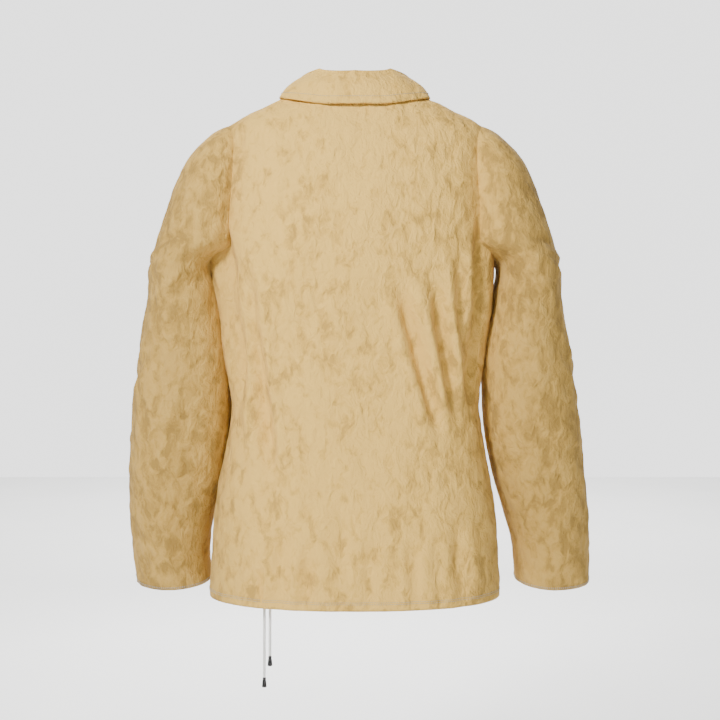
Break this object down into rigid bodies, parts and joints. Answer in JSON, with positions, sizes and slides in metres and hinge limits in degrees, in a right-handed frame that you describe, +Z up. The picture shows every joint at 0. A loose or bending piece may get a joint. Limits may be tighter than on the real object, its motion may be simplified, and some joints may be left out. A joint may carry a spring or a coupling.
{
  "type": "jacket",
  "caption": "Hip-length tan collared jacket with snap front, long set-in sleeves, slant pockets, lining and a hem drawcord with metal bell ends.",
  "frame": {"origin": "middle of the neck opening, level with the tops of the shoulders, where the wearer or a shaped hanger holds the jacket", "axes": "+Z up; the front of the jacket faces -Y and its back faces +Y; +X points to the wearer's left"},
  "size_m": [0.6537, 0.2641, 0.8282],
  "materials": {
    "suede_cloth": "brushed tan suede-look cloth with a crushed, mottled face",
    "satin_lining": "smooth satin lining",
    "gunmetal": "dark gunmetal plating",
    "white_braid": "round braided white cord",
    "woven_tape": "woven tape",
    "label_satin": "blank woven satin label",
    "pocket_cotton": "plain pocket cotton"
  },
  "bodies": {
    "root": {"back_panel": "suede_cloth", "left_side_panel": "suede_cloth", "right_side_panel": "suede_cloth", "back_lining": "satin_lining", "left_side_lining": "satin_lining", "right_side_lining": "satin_lining", "back_neck_facing": "suede_cloth", "collar_stand": "suede_cloth", "collar_leaf": "suede_cloth", "neck_label": "label_satin", "hem_channel": "suede_cloth", "hem_cord_left": "white_braid", "hem_cord_right": "white_braid", "eyelet_long": "gunmetal", "eyelet_short": "gunmetal", "cord_end_long": "white_braid", "cord_end_short": "white_braid"},
    "left_front": {"left_front_panel": "suede_cloth", "left_front_lining": "satin_lining", "left_front_facing": "suede_cloth", "left_front_hem": "suede_cloth", "left_collar_stand_end": "suede_cloth", "left_collar_leaf_end": "suede_cloth", "left_pocket_welt": "suede_cloth", "left_pocket_bag": "pocket_cotton", "snap_cap_1": "gunmetal", "snap_cap_2": "gunmetal", "snap_cap_3": "gunmetal", "snap_cap_4": "gunmetal", "snap_cap_5": "gunmetal", "snap_socket_1": "gunmetal", "snap_socket_2": "gunmetal", "snap_socket_3": "gunmetal", "snap_socket_4": "gunmetal", "snap_socket_5": "gunmetal"},
    "right_front": {"right_front_panel": "suede_cloth", "right_front_lining": "satin_lining", "right_front_facing": "suede_cloth", "right_front_hem": "suede_cloth", "right_collar_stand_end": "suede_cloth", "right_collar_leaf_end": "suede_cloth", "right_pocket_welt": "suede_cloth", "right_pocket_bag": "pocket_cotton", "snap_stud_1": "gunmetal", "snap_stud_2": "gunmetal", "snap_stud_3": "gunmetal", "snap_stud_4": "gunmetal", "snap_stud_5": "gunmetal"},
    "left_arm": {"left_sleeve": "suede_cloth", "left_sleeve_lining": "satin_lining", "left_cuff_facing": "suede_cloth"},
    "right_arm": {"right_sleeve": "suede_cloth", "right_sleeve_lining": "satin_lining", "right_cuff_facing": "suede_cloth"},
    "loop": {"hanger_loop": "woven_tape"},
    "long_bell": {"cord_bell_long": "gunmetal"},
    "short_bell": {"cord_bell_short": "gunmetal"}
  },
  "joints": [
    {"name": "left_front_swing", "type": "hinge", "parent": "root", "child": "left_front", "pos_m": [0.09046, -0.13196, -0.04503], "axis": [-0.0923, -0.0387, 0.995], "range_deg": [0, 80]},
    {"name": "right_front_swing", "type": "hinge", "parent": "root", "child": "right_front", "pos_m": [-0.09046, -0.13196, -0.04503], "axis": [-0.0923, 0.0387, -0.995], "range_deg": [0, 40]},
    {"name": "left_sleeve_raise", "type": "hinge", "parent": "root", "child": "left_arm", "pos_m": [0.172, 0, -0.042], "axis": [0, -1, 0], "range_deg": [0, 45]},
    {"name": "right_sleeve_raise", "type": "hinge", "parent": "root", "child": "right_arm", "pos_m": [-0.172, 0, -0.042], "axis": [0, 1, 0], "range_deg": [0, 45]},
    {"name": "hanger_loop_lift", "type": "hinge", "parent": "root", "child": "loop", "pos_m": [0, 0.04993, -0.00885], "axis": [-1, 0, 0], "range_deg": [0, 120]},
    {"name": "long_cord_pull", "type": "slide", "parent": "root", "child": "long_bell", "axis": [0, 0, 1], "range_m": [0, 0.065], "deforming": ["cord_end_long"]},
    {"name": "short_cord_pull", "type": "slide", "parent": "root", "child": "short_bell", "axis": [0, 0, 1], "range_m": [0, 0.04], "deforming": ["cord_end_short"]}
  ],
  "couplings": [
    {"joint": "right_front_swing", "follows": "left_front_swing", "ratio": 0.5}
  ]
}
